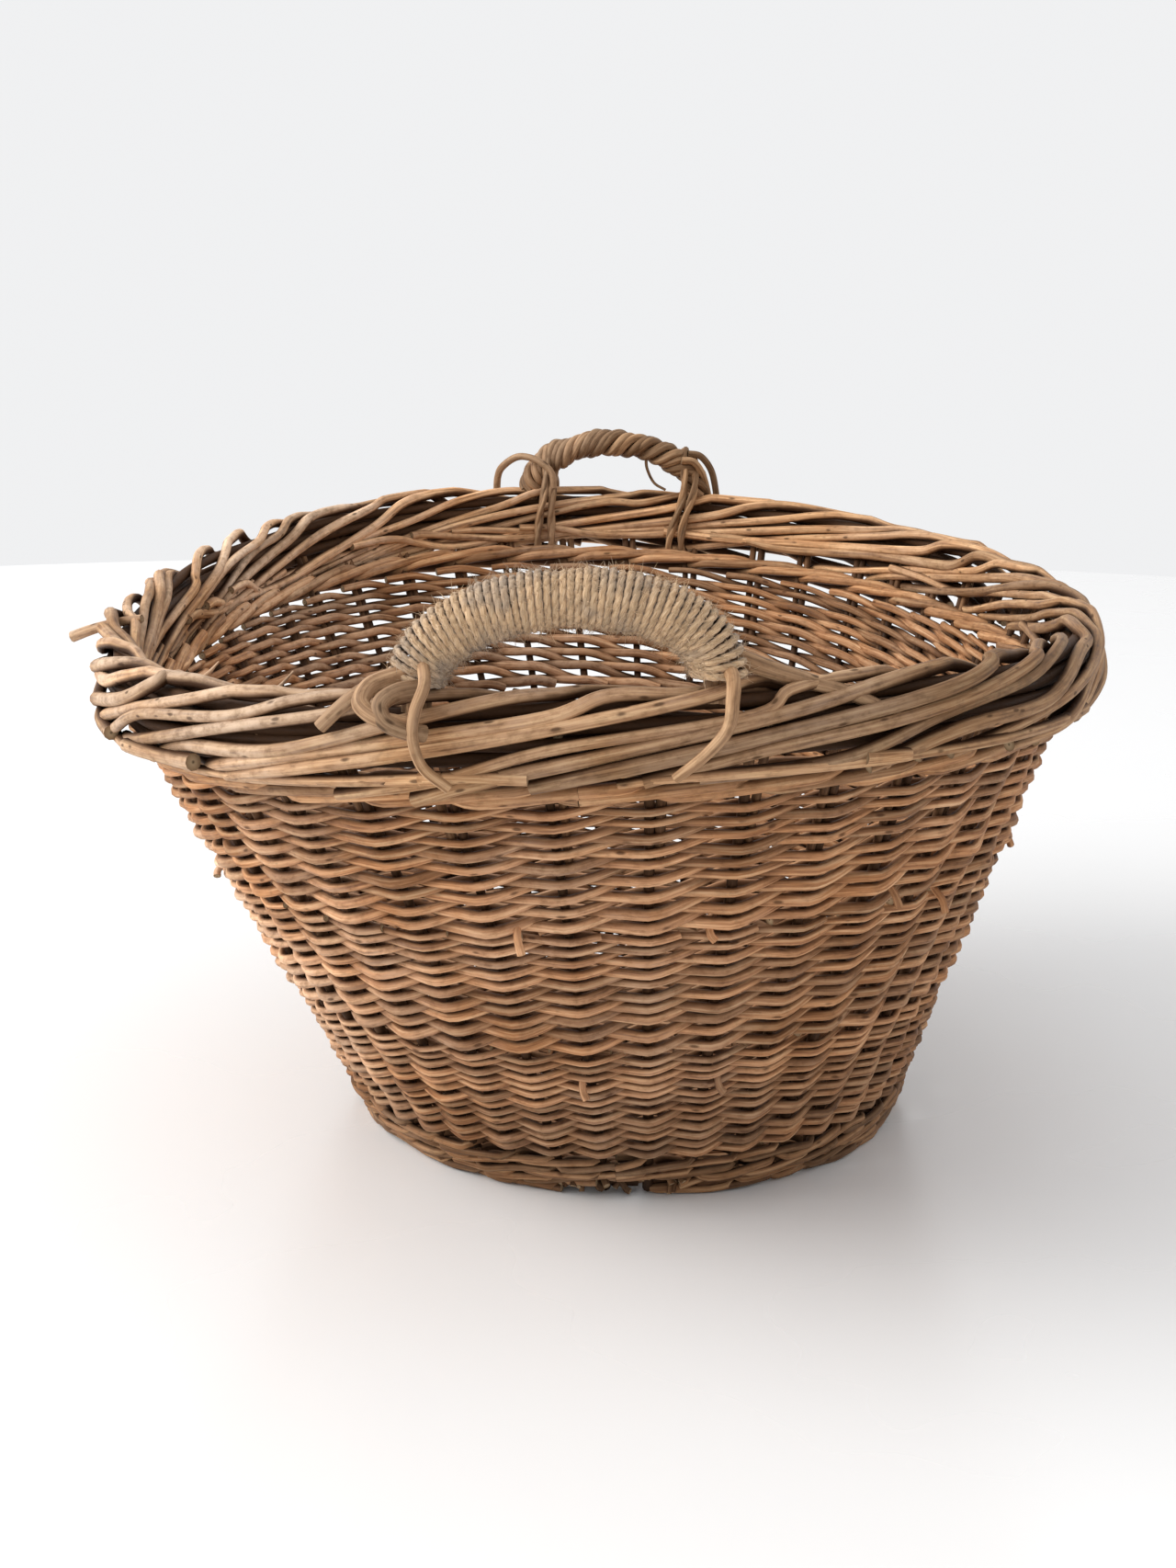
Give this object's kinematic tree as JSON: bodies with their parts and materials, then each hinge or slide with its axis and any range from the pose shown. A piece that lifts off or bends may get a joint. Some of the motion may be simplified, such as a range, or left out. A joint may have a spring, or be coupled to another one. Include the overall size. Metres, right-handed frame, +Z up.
{
  "type": "laundry basket",
  "caption": "Oval woven willow laundry basket with a flaring wall, rolled rod border, wrapped bow handle at one end and roped bow handle at the other.",
  "frame": {"origin": "on the resting surface, below the middle of the rim's outline", "axes": "+Z up, Y along the basket with the twine-wrapped handle at -Y and the roped handle at +Y, X across it"},
  "size_m": [0.5304, 0.7677, 0.3467],
  "materials": {
    "stake_willow": "aged unpeeled willow rods, satin",
    "weave_willow": "aged willow weavers, tan to brown, low satin sheen",
    "wale_willow": "aged willow rods, worn to grey-tan on the outer faces",
    "border_willow": "thick aged willow rods, silvered by wear, dark in the crevices",
    "handle_willow": "smooth handled willow rods, grey-brown satin",
    "twine": "coarse fuzzy jute twine, beige with blue-grey soiling, matt"
  },
  "bodies": {
    "root": {"base_slath": "stake_willow", "base_weave": "weave_willow", "foot_wale": "wale_willow", "lower_band": "weave_willow", "middle_band": "weave_willow", "upper_band": "weave_willow", "top_wale": "wale_willow", "border": "border_willow", "near_handle_core": "handle_willow", "near_handle_twine": "twine", "far_handle_core": "handle_willow", "far_handle_rope": "handle_willow", "far_lashing_left": "handle_willow", "far_lashing_right": "handle_willow", "stake_01": "stake_willow", "stake_02": "stake_willow", "stake_03": "stake_willow", "stake_04": "stake_willow", "stake_05": "stake_willow", "stake_06": "stake_willow", "stake_07": "stake_willow", "stake_08": "stake_willow", "stake_09": "stake_willow", "stake_10": "stake_willow", "stake_11": "stake_willow", "stake_12": "stake_willow", "stake_13": "stake_willow", "stake_14": "stake_willow", "stake_15": "stake_willow", "stake_16": "stake_willow", "stake_17": "stake_willow", "stake_18": "stake_willow", "stake_19": "stake_willow", "stake_20": "stake_willow", "stake_21": "stake_willow", "stake_22": "stake_willow", "stake_23": "stake_willow", "stake_24": "stake_willow", "stake_25": "stake_willow", "stake_26": "stake_willow", "stake_27": "stake_willow", "stake_28": "stake_willow", "stake_29": "stake_willow", "stake_30": "stake_willow", "stake_31": "stake_willow", "stake_32": "stake_willow", "stake_33": "stake_willow", "stake_34": "stake_willow", "stake_35": "stake_willow", "stake_36": "stake_willow", "stake_37": "stake_willow", "stake_38": "stake_willow", "stake_39": "stake_willow", "stake_40": "stake_willow", "stake_41": "stake_willow", "stake_42": "stake_willow", "stake_43": "stake_willow", "stake_44": "stake_willow", "stake_45": "stake_willow", "stake_46": "stake_willow"}
  },
  "joints": []
}
